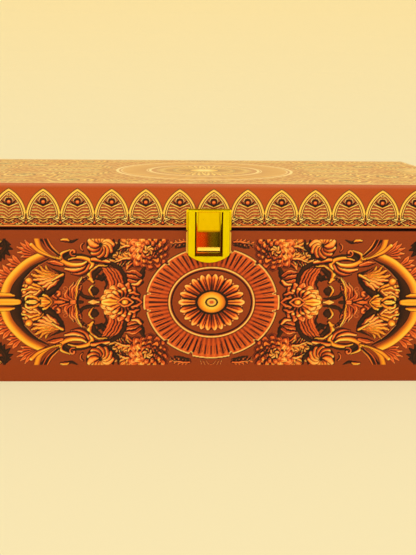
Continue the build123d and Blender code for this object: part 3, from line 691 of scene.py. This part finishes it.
def draw_top_print():
    """One quarter of the lid's top print: rings, petals and scrolls in gold on a warm ground."""
    paper = Paper(130, 65, TOP_DRAWN_PITCH, TOP_GROUND)
    inks = dict(inks=TOP_INK, edge=0.15)
    place, u, v = paper.window((-1, -1), (130, 65))
    leaves = np.sin(u * 1.3 + 2.2 * np.sin(v * 0.55)) * np.sin(v * 1.6 + 1.9 * np.sin(u * 0.5))
    paper.lay(place, np.clip(np.abs(leaves) * 3 - 1.2, 0, 0.8), TOP_INK.at(0.4 + 0.6 * leaves))
    for spine, reach, lobes, width in (
        (((50, 8), (62, 22), (78, 18)), 10, 9, 2.2), (((54, 30), (62, 28), (78, 36)), 8, 9, 2.2),
        (((52, 4), (66, 5), (82, 2)), 8, 9, 2.4), (((84, 46), (98, 52), (114, 48)), 9, 9, 2.2),
        (((20, 50), (34, 54), (50, 50)), 8, 9, 2.2), (((100, 6), (110, 16), (122, 14)), 8, 8, 2.2),
    ):
        acanthus(paper, spine, reach, lobes, width, **inks)
    for centre, radius in (((92, 26), 17), ((66, 48), 11), ((112, 34), 10)):
        for turn in (0, 150):
            scroll = spiral(centre, radius, radius * 0.15, turn, turn + 400, 14)
            stroke(paper, scroll, (2.6, 2.4, 1.8, 1), **inks)
        swirl(paper, centre, radius * 0.32, 10, TOP_INK)
    fan(paper, (126, 0), 22, np.linspace(100, 180, 9), 4, start=5, **inks)
    fan(paper, (127, 63), 20, np.linspace(184, 266, 7), 4, start=4, **inks)
    fan(paper, (0, 63), 13, np.linspace(-90, -8, 7), 3, start=3, **inks)
    place, u, v = paper.window((-1, -1), (60, 60))
    away, turn = np.hypot(u, v), np.arctan2(v, u)
    outer, inner = TOP_HOOPS
    paper.lay(place, (outer + 0.6 - away) / paper.pitch, "#D08A44")
    scallop = TOP_INK.at(0.28 + 0.4 * np.abs(np.sin(turn * 18)) * (away - 29) / 17)
    paper.lay(place, ((away > 31) & (away < 44)) * 0.7, scallop)
    paper.lay(place, (inner - away) / paper.pitch, "#CC8440")
    fan(paper, (0, 0), 26, np.linspace(-8, 98, 14), 5.2, start=8, bend=0, **inks)
    fan(paper, (0, 0), 17, np.linspace(-4, 94, 13), 3.6, start=6, bend=0, **inks)
    for radius, width in ((outer, 1.4), (44.2, 0.5), (30.6, 0.5), (inner, 1.3)):
        ring(paper, (0, 0), (radius, radius), width, "#FFE6A4")
    bud(paper, (0, 0), 7.5, TOP_INK)
    edge = np.minimum(126.5 - paper.u[None, :], 63 - paper.v[:, None])
    for at, width in ((2.2, 0.7), (3.6, 0.35)):
        paper.trace((slice(None), slice(None)), edge, at, width, "#FFE2A0")
    return paper


def placed(name, data):
    """Adds an object to the scene for a mesh, a lamp or the camera."""
    made = bpy.data.objects.new(name, data)
    bpy.context.collection.objects.link(made)
    return made


def print_mesh(name, points, inks, body, material):
    """A grid of points as a mesh: squares between neighbours, the ink as a colour on each point."""
    rows, columns = points.shape[:2]
    index = np.arange(rows * columns).reshape(rows, columns)
    corners = np.stack([index[:-1, :-1], index[:-1, 1:], index[1:, 1:], index[1:, :-1]], axis=-1)
    corners = corners.reshape(-1, 4)
    mesh = bpy.data.meshes.new(name)
    mesh.vertices.add(rows * columns)
    mesh.vertices.foreach_set("co", (points * MM).astype(np.float32).ravel())
    mesh.loops.add(corners.size)
    mesh.loops.foreach_set("vertex_index", corners.astype(np.int32).ravel())
    mesh.polygons.add(len(corners))
    mesh.polygons.foreach_set("loop_start", np.arange(0, corners.size, 4, dtype=np.int32))
    mesh.polygons.foreach_set("use_smooth", np.ones(len(corners), dtype=bool))
    mesh.update(calc_edges=True)
    ink = mesh.color_attributes.new("print", "FLOAT_COLOR", "POINT")
    colours = np.dstack([inks, np.ones((rows, columns))])
    ink.data.foreach_set("color", colours.astype(np.float32).ravel())
    across, up = np.meshgrid(np.linspace(0, 1, columns), np.linspace(0, 1, rows))
    uv = mesh.uv_layers.new(name="OFBake")
    spread = np.stack([across, up], axis=-1).reshape(-1, 2)[corners.ravel()]
    uv.data.foreach_set("uv", spread.astype(np.float32).ravel())
    mesh.materials.append(material)
    piece = placed(name, mesh)
    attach(piece, body)


def band_points(side, pitch, levels, insets, start=-1.0, end=1.0):
    """Points of a paper band on one side of the box, round to the middle of both corner arcs.

    Across, the distance along the paper is turned into a flat run and a quarter arc; up, each
    level has its own inset from the box's face. start and end are shares of the half length.
    Returns the points and the distances along.
    """
    turns, half_long, half_deep = SIDES[side]
    flat = half_long - CORNER_RADIUS
    limit = flat + CORNER_RADIUS * math.pi / 4
    along = np.linspace(start, end, int(half_long * (end - start) / pitch) + 1) * limit
    turn = np.clip((np.abs(along) - flat) / CORNER_RADIUS, 0, None)[None, :]
    radius = (CORNER_RADIUS + INK_LIFT - insets)[:, None]
    x = np.sign(along) * (np.minimum(np.abs(along), flat)[None, :] + radius * np.sin(turn))
    y = -(half_deep - CORNER_RADIUS) - radius * np.cos(turn)
    z = np.broadcast_to(levels[:, None], x.shape)
    for _ in range(turns):
        x, y = -y, x
    return np.stack([x, y, z], axis=-1), along


def wire(tree, made, **links):
    """Sets a node's sockets by name, or by _number: an output is linked, a value is set."""
    for name, value in links.items():
        socket = made.inputs[int(name[1:]) if name[0] == "_" else name.replace("_", " ")]
        if isinstance(value, bpy.types.NodeSocket):
            tree.links.new(value, socket)
        else:
            socket.default_value = value


def node(tree, kind, settings=(), **links):
    """Adds a node with its settings and links, and returns its outputs."""
    made = tree.nodes.new("ShaderNode" + kind)
    for name, value in dict(settings).items():
        setattr(made, name, value)
    wire(tree, made, **links)
    return made.outputs


def shader(name):
    """A new material with its tree, its Principled shader and the Object coordinates."""
    material = bpy.data.materials.new(name)
    material.use_nodes = True
    tree = material.node_tree
    return material, tree, tree.nodes["Principled BSDF"], node(tree, "TexCoord")["Object"]


def bump(tree, surface, height, strength, distance):
    """Links a height to the shader's normal; distance is in millimetres."""
    relief = node(tree, "Bump", Strength=strength, Distance=distance * MM, Height=height)
    wire(tree, surface, Normal=relief["Normal"])


def mottle(tree, place, size, low, high, detail=3.0, span=(0.3, 0.7)):
    """A value from low to high over the noise's span, varying over about size millimetres."""
    noise = node(tree, "TexNoise", Vector=place, Scale=1 / (size * MM), Detail=detail)
    limits = dict(From_Min=span[0], From_Max=span[1], To_Min=low, To_Max=high)
    return node(tree, "MapRange", Value=noise["Fac"], **limits)["Result"]


def tinted(tree, colour, factor):
    """A hex colour, or a colour output, times a grey factor."""
    colour = rgba(colour) if isinstance(colour, str) else colour
    grey = node(tree, "CombineColor", Red=factor, Green=factor, Blue=factor)["Color"]
    multiply = {"data_type": "RGBA", "blend_type": "MULTIPLY"}
    return node(tree, "Mix", multiply, _0=1.0, _6=colour, _7=grey)[2]


def apart(tree, value, middle):
    """How far a coordinate is from a middle, in metres."""
    off = node(tree, "Math", {"operation": "SUBTRACT"}, _0=value, _1=middle)[0]
    return node(tree, "Math", {"operation": "ABSOLUTE"}, _0=off)[0]


def ground_with_painted_slit_shade(tree, place, ground):
    """Plain wrap ground with shade painted in the slit between lid and base, but not on the bare
    rim.

    The slit is where the height's distance from its middle is small; the rim is where both X
    and Y lie further in than the wrap's outer skin.
    """
    split = node(tree, "SeparateXYZ", Vector=place)
    away = apart(tree, split["Z"], (LID_FOOT + BASE_TOP) / 2 * MM)
    slit = dict(From_Min=SLIT_SHADE[0] * MM, From_Max=SLIT_SHADE[1] * MM)
    open_air = node(tree, "MapRange", Value=away, **slit)["Result"]
    inner = []
    for axis, half in (("X", HALF_WIDTH), ("Y", HALF_DEPTH)):
        reach, limit = apart(tree, split[axis], 0.0), (half - RIM_SKIN) * MM
        inner.append(node(tree, "Math", {"operation": "LESS_THAN"}, _0=reach, _1=limit)[0])
    on_rim = node(tree, "Math", {"operation": "MINIMUM"}, _0=inner[0], _1=inner[1])[0]
    clear = node(tree, "Math", {"operation": "MAXIMUM"}, _0=open_air, _1=on_rim)[0]
    # Painted shade: the ground turns dark brown in the slit, where the lid and base shade each
    # other
    colours = dict(_6=rgba(PAINTED_SLIT_SHADE_COLOUR), _7=rgba(ground))
    return node(tree, "Mix", {"data_type": "RGBA"}, _0=clear, **colours)[2]


def laminated_paper(name, ground=None, roughness=0.5, coat=0.0, coat_roughness=0.2):
    """Offset-printed paper under a thin matt laminate: ink with a faint grain and a soft sheen.

    Without a ground the colour is the sheet's own print attribute. With one, shade is painted dark
    in the slit between lid and base.
    """
    material, tree, surface, place = shader(name)
    if ground:
        colour = ground_with_painted_slit_shade(tree, place, ground)
    else:
        colour = node(tree, "Attribute", {"attribute_name": "print"})["Color"]
    grain = mottle(tree, place, 0.5, 0.93, 1.06)
    sheen = mottle(tree, place, 14, roughness - 0.06, roughness + 0.06, 2.0, (0.0, 1.0))
    wire(tree, surface, Base_Color=tinted(tree, colour, grain), Roughness=sheen,
         Specular_IOR_Level=0.16, Coat_Weight=coat, Coat_Roughness=coat_roughness)
    ripple = node(tree, "TexNoise", Vector=place, Scale=1 / (1.2 * MM), Detail=2.0)
    bump(tree, surface, ripple["Fac"], 0.12, 0.05)
    return material


def lining_paper(name, colour):
    """Plain uncoated lining paper: matt, with short fibres and a little unevenness."""
    material, tree, surface, place = shader(name)
    fibres = node(tree, "Mapping", Vector=place, Scale=(1.0, 0.25, 1.0))["Vector"]
    grain = mottle(tree, fibres, 0.6, 0.92, 1.04, 6.0)
    wire(tree, surface, Base_Color=tinted(tree, colour, grain), Roughness=0.85)
    noise = node(tree, "TexNoise", Vector=fibres, Scale=1 / (0.7 * MM), Detail=6.0)
    bump(tree, surface, noise["Fac"], 0.3, 0.08)
    return material


def fibre_board():
    """Medium density fibreboard: pressed wood fibre, brown with darker flecks, quite rough."""
    material, tree, surface, place = shader("pressed fibreboard")
    flecks = mottle(tree, place, 0.9, 0.7, 1.12, 8.0)
    wire(tree, surface, Base_Color=tinted(tree, "#B08A5C", flecks), Roughness=0.9)
    noise = node(tree, "TexNoise", Vector=place, Scale=1 / (0.5 * MM), Detail=6.0)
    bump(tree, surface, noise["Fac"], 0.4, 0.1)
    return material


def plated_steel(name, colour, roughness, wear, polished=None):
    """Stamped steel under yellow electroplate: brushed, with fine lines and handling marks.

    polished names an axis and its limits in millimetres: the pressed bevels, the knuckles and
    the tongue between them are as bright as a mirror and show the room.
    """
    material, tree, surface, place = shader(name)
    marks = mottle(tree, place, 2.5, 1 - wear, 1.0, 4.0)
    lines = node(tree, "Mapping", Vector=place, Scale=(1.0, 1.0, 0.05))["Vector"]
    brush = node(tree, "TexNoise", Vector=lines, Scale=1 / (0.25 * MM), Detail=3.0)["Fac"]
    limits = dict(To_Min=roughness * 0.7, To_Max=roughness * 1.4)
    rough = node(tree, "MapRange", Value=brush, **limits)["Result"]
    if polished:
        axis, low, high = polished
        level = node(tree, "SeparateXYZ", Vector=place)[axis]
        away = apart(tree, level, (low + high) / 2 * MM)
        reach = (high - low) / 2 * MM
        inside = node(tree, "Math", {"operation": "LESS_THAN"}, _0=away, _1=reach)[0]
        rough = node(tree, "Mix", _0=inside, _2=rough, _3=MIRROR_ROUGHNESS)[0]
    wire(tree, surface, Metallic=1.0, Base_Color=tinted(tree, colour, marks), Roughness=rough)
    bump(tree, surface, brush, 0.05, 0.01)
    return material


class PrintSettings(bpy.types.PropertyGroup):
    """How finely the printed sheets are cut, and how they shine."""

    front_pitch: FloatProperty(
        name="Front pitch", description="Millimetres between print points on the front",
        default=0.31, min=0.2, max=2.0,
    )
    other_pitch: FloatProperty(
        name="Side pitch", description="Millimetres between print points on the other sides",
        default=0.43, min=0.2, max=2.0,
    )
    roughness: FloatProperty(
        name="Roughness", description="Roughness of the laminated paper", default=0.5,
        min=0.0, max=1.0, subtype="FACTOR",
    )


class StageSettings(bpy.types.PropertyGroup):
    """Colours of the floor and the wall, and where the camera stands."""

    floor_colour: FloatVectorProperty(
        name="Floor", description="Colour of the floor", default=linear("#F5E7B8"),
        size=3, subtype="COLOR", min=0.0, max=1.0,
    )
    wall_colour: FloatVectorProperty(
        name="Wall", description="Colour of the wall", default=linear("#FAE5A9"),
        size=3, subtype="COLOR", min=0.0, max=1.0,
    )
    evenness: FloatProperty(
        name="Evenness", description="How much of the sweep's shading the camera doesn't see",
        default=0.6, min=0.0, max=1.0, subtype="FACTOR",
    )
    room_light: FloatProperty(
        name="Room light", description="Strength of the light from all round",
        default=0.8, min=0.0, max=3.0,
    )
    camera_place: FloatVectorProperty(
        name="Camera", description="Where the camera stands, in metres",
        default=(-0.0247, -0.4480, 0.1369), size=3, subtype="TRANSLATION",
    )
    camera_turn: FloatProperty(
        name="Turn", description="How far the camera looks to the right",
        default=math.radians(1.66), subtype="ANGLE",
    )
    camera_roll: FloatProperty(
        name="Roll", description="How far the camera leans to the left",
        default=math.radians(0.5), subtype="ANGLE",
    )
    camera_tilt: FloatProperty(
        name="Tilt", description="How far the camera looks down",
        default=math.radians(3.0), subtype="ANGLE",
    )


def dress(piece, material):
    """Gives a piece one material in place of what it has."""
    piece.data.materials.clear()
    piece.data.materials.append(material)


class FRUITBOX_OT_papers(bpy.types.Operator):
    """Gives the boards, linings and plain papers of the frame their finishes"""

    bl_idname = "fruitbox.papers"
    bl_label = "Papers and boards"

    def execute(self, context):
        # The plain wraps get shade painted dark in the slit between lid and base
        wrap_paper = laminated_paper("laminated wrap paper", GROUND)
        border_paper = laminated_paper("laminated border paper", BORDER_GROUND)
        top_paper = laminated_paper("laminated top paper", TOP_PAPER, **TOP_GLOSS)
        lining = lining_paper("cream lining paper", "#EFE2C2")
        card = lining_paper("paper-covered divider card", "#E9D9B4")
        board = fibre_board()
        finishes = {
            "base_wrap": wrap_paper, "lid_rim_wrap": border_paper, "lid_top_sheet": top_paper,
            "base_lining": lining, "lid_lining": lining, "underside_sheet": lining,
            "long_divider": card, "cross_divider": card,
            "base_floor_panel": board, "lid_top_panel": board,
        }
        for side in SIDES:
            finishes[f"base_{side}_wall"] = finishes[f"lid_{side}_rail"] = board
        for name, material in finishes.items():
            dress(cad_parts[name], material)
        return {"FINISHED"}


class FRUITBOX_OT_metalwork(bpy.types.Operator):
    """Gives the latch and the hinges their plating"""

    bl_idname = "fruitbox.metalwork"
    bl_label = "Latch and hinges"

    def execute(self, context):
        flap_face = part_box("latch_flap")[0][1] / MM
        knuckle_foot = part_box("latch_flap")[1][2] / MM - KNUCKLE_HEIGHT
        satin = plated_steel("satin gold-plated steel", "#FFE004", 0.3, 0.05)
        hinge = plated_steel("brass-plated hinge steel", "#E9C060", 0.22, 0.12)
        special = {}
        for name, word, colour, roughness, wear, polished in (
            ("latch_catch", "catch", "#FFD452", 0.3, 0.03, ("X", -TONGUE_HALF, TONGUE_HALF)),
            ("latch_flap", "flap", "#FFEC06", 0.4, 0.04, ("Y", flap_face + BEVEL_DEPTH, 0.0)),
            ("latch_lid_plate", "plate", "#FFE004", 0.3, 0.05, ("Z", knuckle_foot, BOX_TOP)),
        ):
            finish = f"gold-plated {word} steel"
            special[name] = plated_steel(finish, colour, roughness, wear, polished)
        for name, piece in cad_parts.items():
            if name in special:
                dress(piece, special[name])
            elif "hinge" in name:
                dress(piece, hinge)
            elif "latch" in name or "nails" in name:
                dress(piece, satin)
        return {"FINISHED"}


class FRUITBOX_OT_base_print(bpy.types.Operator):
    """Prints the floral ornament on the four sides of the base"""

    bl_idname = "fruitbox.base_print"
    bl_label = "Base print"

    def execute(self, context):
        settings = context.scene.fruitbox_print
        paper = draw_base_print()
        ink = laminated_paper("laminated floral print", roughness=settings.roughness)
        foot, head = 0.1, BASE_TOP - RIM_EDGE_RADIUS
        for name, start, end in (
            ("front_left", -1, 0), ("front_right", 0, 1), ("right", -1, 1),
            ("back", -1, 1), ("left", -1, 1),
        ):
            side = name.split("_")[0]
            pitch = settings.front_pitch if side == "front" else settings.other_pitch
            levels = np.linspace(foot, head, int((head - foot) / pitch) + 1)
            points, along = band_points(side, pitch, levels, np.zeros_like(levels), start, end)
            u = np.abs(along - (BASE_PRINT_CENTRE[0] if side == "front" else 0)) / PRINT_STRETCH
            v = np.abs(levels - BASE_PRINT_CENTRE[1]) / PRINT_STRETCH
            inks = paper.read(*np.meshgrid(u, v))
            print_mesh(f"base_print_{name}", points, inks, "base", ink)
        return {"FINISHED"}


class FRUITBOX_OT_border_print(bpy.types.Operator):
    """Prints the row of pointed arches round the lid's rim and over its rounded edge"""

    bl_idname = "fruitbox.border_print"
    bl_label = "Lid border print"

    def execute(self, context):
        paper = draw_border_print()
        ink = laminated_paper("laminated arch print", roughness=0.45)
        wall = np.arange(LID_FOOT + RIM_EDGE_RADIUS, BOX_TOP - LID_EDGE_RADIUS, BORDER_PITCH)
        arc = np.radians(np.linspace(0, 78, 9))
        crown = BOX_TOP - LID_EDGE_RADIUS
        levels = np.concatenate([wall, crown + LID_EDGE_RADIUS * np.sin(arc)])
        insets = np.concatenate([np.zeros_like(wall), LID_EDGE_RADIUS * (1 - np.cos(arc))])
        up_paper = np.concatenate([wall, crown + LID_EDGE_RADIUS * arc]) - LID_FOOT
        # Painted highlight: towards the top, over the rounded edge, the arches fade into a paler
        # pink where the edge catches light
        fade = held((up_paper - BORDER_HIGHLIGHT_FADE[0]) / (BORDER_HIGHLIGHT_FADE[1] - BORDER_HIGHLIGHT_FADE[0]))[:, None, None]
        for side in SIDES:
            points, along = band_points(side, BORDER_PITCH, levels, insets)
            phase = (along - ARCH_OFFSET + ARCH_PITCH / 2) % ARCH_PITCH - ARCH_PITCH / 2
            inks = paper.read(*np.meshgrid(np.abs(phase), up_paper))
            inks = inks * (1 - fade) + np.array(linear(BORDER_EDGE_HIGHLIGHT)) * fade
            print_mesh(f"lid_border_print_{side}", points, inks, "lid", ink)
        return {"FINISHED"}


class FRUITBOX_OT_top_print(bpy.types.Operator):
    """Prints the gold ornament on the lid's top, in a left and a right half"""

    bl_idname = "fruitbox.top_print"
    bl_label = "Lid top print"

    def execute(self, context):
        paper = draw_top_print()
        ink = laminated_paper("laminated gold-ink print", **TOP_GLOSS)
        inset = LID_EDGE_RADIUS + 0.05
        half_x, half_y = HALF_WIDTH - inset, HALF_DEPTH - inset
        pitch = context.scene.fruitbox_print.other_pitch
        y = np.linspace(-half_y, half_y, int(2 * half_y / pitch) + 1)
        for name, start, end in (("left", -half_x, 0.0), ("right", 0.0, half_x)):
            x = np.linspace(start, end, int((end - start) / pitch) + 1)
            across, deep = np.meshgrid(x, y)
            points = np.stack([across, deep, np.full_like(across, BOX_TOP + INK_LIFT)], axis=-1)
            inks = paper.read(np.abs(across - TOP_CENTRE[0]), np.abs(deep - TOP_CENTRE[1]))
            print_mesh(f"lid_top_print_{name}", points, inks, "lid", ink)
        return {"FINISHED"}


def stage_card(name, low, high, colour, glow):
    """A flat card that only reflections see, as the dark and coloured things round a photographer.

    low and high are opposite corners; the other two follow from the two axes that differ.
    """
    first, second = (axis for axis in range(3) if low[axis] != high[axis])
    turned = [list(low), list(low)]
    turned[0][first], turned[1][second] = high[first], high[second]
    mesh = bpy.data.meshes.new(name)
    mesh.from_pydata([low, turned[0], high, turned[1]], [], [(0, 1, 2, 3)])
    material, tree, surface, _ = shader(name)
    wire(tree, surface, Base_Color=(0, 0, 0, 1), Specular_IOR_Level=0.0,
         Emission_Color=rgba(colour), Emission_Strength=glow)
    mesh.materials.append(material)
    card = placed(name, mesh)
    card.visible_camera = card.visible_diffuse = card.visible_shadow = False


def backdrop(settings):
    """A paper sweep: a flat floor, a quarter arc and a wall, as a profile carried along X.

    The camera sees mostly the paper's own colour, evenly, with part of the real shading over it.
    """
    reach, radius, height, half = 0.45, 0.3, 2.5, 2.5
    turn = np.linspace(0, math.pi / 2, 17)
    arc = zip(reach + radius * np.sin(turn), radius * (1 - np.cos(turn)))
    profile = [(-2.0, 0.0), *arc, (reach + radius, height)]
    points = [(x, y, z) for y, z in profile for x in (-half, half)]
    faces = [(2 * k, 2 * k + 1, 2 * k + 3, 2 * k + 2) for k in range(len(profile) - 1)]
    mesh = bpy.data.meshes.new("backdrop")
    mesh.from_pydata(points, [], faces)
    material, tree, surface, place = shader("backdrop paper")
    level = node(tree, "SeparateXYZ", Vector=place)["Z"]
    rise = node(tree, "MapRange", Value=level, From_Min=0.0, From_Max=0.25)["Result"]
    colours = dict(_6=(*settings.floor_colour, 1), _7=(*settings.wall_colour, 1))
    paper = node(tree, "Mix", {"data_type": "RGBA"}, _0=rise, **colours)[2]
    wire(tree, surface, Base_Color=paper, Roughness=0.9, Specular_IOR_Level=0.0)
    glow = node(tree, "Emission", Color=paper, Strength=1.0)[0]
    seen = node(tree, "LightPath")["Is Camera Ray"]
    share = node(tree, "Math", {"operation": "MULTIPLY"}, _0=seen, _1=settings.evenness)[0]
    blend = node(tree, "MixShader", _0=share, _1=surface.outputs[0], _2=glow)[0]
    wire(tree, tree.nodes["Material Output"], Surface=blend)
    mesh.materials.append(material)
    sweep = placed("backdrop", mesh)


# Cards round the box: two opposite corners in metres, colour and glow
CARDS = {
    "red card": ((-0.060, -0.3, 0.0), (0.0133, -0.3, 0.036), "#E04A18", 0.95),
    "dark card": ((0.0133, -0.3, 0.0), (0.0157, -0.3, 0.036), "#5A1408", 0.4),
    "olive card": ((0.0157, -0.3, 0.0), (0.0217, -0.3, 0.036), "#6E6A04", 0.8),
    "dark olive card": ((0.0217, -0.3, 0.0), (0.060, -0.3, 0.036), "#2E2E08", 0.5),
    "bright card": ((-0.9, -1.2, 0.0), (0.9, -1.2, 1.2), "#FFF4DC", 1.35),
    "left card": ((-0.12, -0.25, 0.0), (-0.12, -0.09, 0.12), "#6A1206", 0.35),
    "right card": ((0.12, -0.25, 0.0), (0.12, -0.09, 0.12), "#6A1206", 0.35),
    "brown card": ((-0.4, -0.7, 0.15), (0.4, -0.7, 0.32), "#7A4426", 0.5),
    "red ceiling": ((-0.9, -0.9, 0.7), (0.01, -0.12, 0.7), "#6A1A08", 0.4),
    "olive ceiling": ((0.01, -0.9, 0.7), (0.9, -0.12, 0.7), "#4A4608", 0.4),
}

# Lamps: place and size in metres, and power in watts
LAMPS = {"key lamp": ((-0.5, -0.9, 1.1), 0.9, 6.0), "fill lamp": ((0.8, -0.7, 0.7), 0.8, 2.5)}
LAMP_TARGET = (0, 0, 0.05)

# Camera: its sensor and focal length, measured as 839 px on a photo 555 px high, and its shift
SENSOR = 36.0
FOCAL_LENGTH = 839 / 555 * SENSOR
CAMERA_SHIFT = (0.05, -0.2636)


class FRUITBOX_OT_stage(bpy.types.Operator):
    """Sets the paper sweep, the soft lamps, the cards that the metal reflects and the camera"""

    bl_idname = "fruitbox.stage"
    bl_label = "Stage"

    def execute(self, context):
        settings = context.scene.fruitbox_stage
        backdrop(settings)
        world = bpy.data.worlds.new("pale room")
        world.use_nodes = True
        room = world.node_tree
        wire(room, room.nodes["Background"], Color=rgba("#FFF6E6"), Strength=settings.room_light)
        context.scene.world = world
        for name, (place, size, power) in LAMPS.items():
            lamp = bpy.data.lights.new(name, "AREA")
            lamp.size, lamp.energy = size, power
            holder = placed(name, lamp)
            holder.location = place
            aim = Vector(LAMP_TARGET) - Vector(place)
            holder.rotation_euler = aim.to_track_quat("-Z", "Y").to_euler()
        for name, (low, high, colour, glow) in CARDS.items():
            stage_card(name, low, high, colour, glow)
        camera = bpy.data.cameras.new("camera")
        camera.sensor_width, camera.lens = SENSOR, FOCAL_LENGTH
        camera.shift_x, camera.shift_y = CAMERA_SHIFT
        camera.clip_start, camera.clip_end = 0.01, 50
        holder = placed("camera", camera)
        holder.location = settings.camera_place
        level = Matrix.Rotation(math.pi / 2 - settings.camera_tilt, 3, "X")
        turned = Matrix.Rotation(-settings.camera_turn, 3, "Z") @ level
        holder.rotation_euler = (turned @ Matrix.Rotation(settings.camera_roll, 3, "Z")).to_euler()
        context.scene.camera = holder
        context.scene.view_settings.view_transform = "Standard"
        return {"FINISHED"}


OPERATORS = (
    FRUITBOX_OT_papers,
    FRUITBOX_OT_metalwork,
    FRUITBOX_OT_base_print,
    FRUITBOX_OT_border_print,
    FRUITBOX_OT_top_print,
    FRUITBOX_OT_stage,
)


class FRUITBOX_PT_panel(bpy.types.Panel):
    """Lists the steps that dress the box"""

    bl_label = "Fruit Box"
    bl_space_type = "VIEW_3D"
    bl_region_type = "UI"
    bl_category = "Fruit Box"

    def draw(self, context):
        for operator in OPERATORS:
            self.layout.operator(operator.bl_idname)
        for group in (context.scene.fruitbox_print, context.scene.fruitbox_stage):
            for name in group.bl_rna.properties.keys():
                if name not in ("rna_type", "name"):
                    self.layout.prop(group, name)


CLASSES = (PrintSettings, StageSettings, *OPERATORS, FRUITBOX_PT_panel)


def register():
    for item in CLASSES:
        bpy.utils.register_class(item)
    bpy.types.Scene.fruitbox_print = PointerProperty(type=PrintSettings)
    bpy.types.Scene.fruitbox_stage = PointerProperty(type=StageSettings)


def unregister():
    del bpy.types.Scene.fruitbox_stage
    del bpy.types.Scene.fruitbox_print
    for item in reversed(CLASSES):
        bpy.utils.unregister_class(item)


def main():
    """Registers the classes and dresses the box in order."""
    register()
    for operator in OPERATORS:
        group, name = operator.bl_idname.split(".")
        getattr(getattr(bpy.ops, group), name)()


if __name__ == "__main__":
    main()
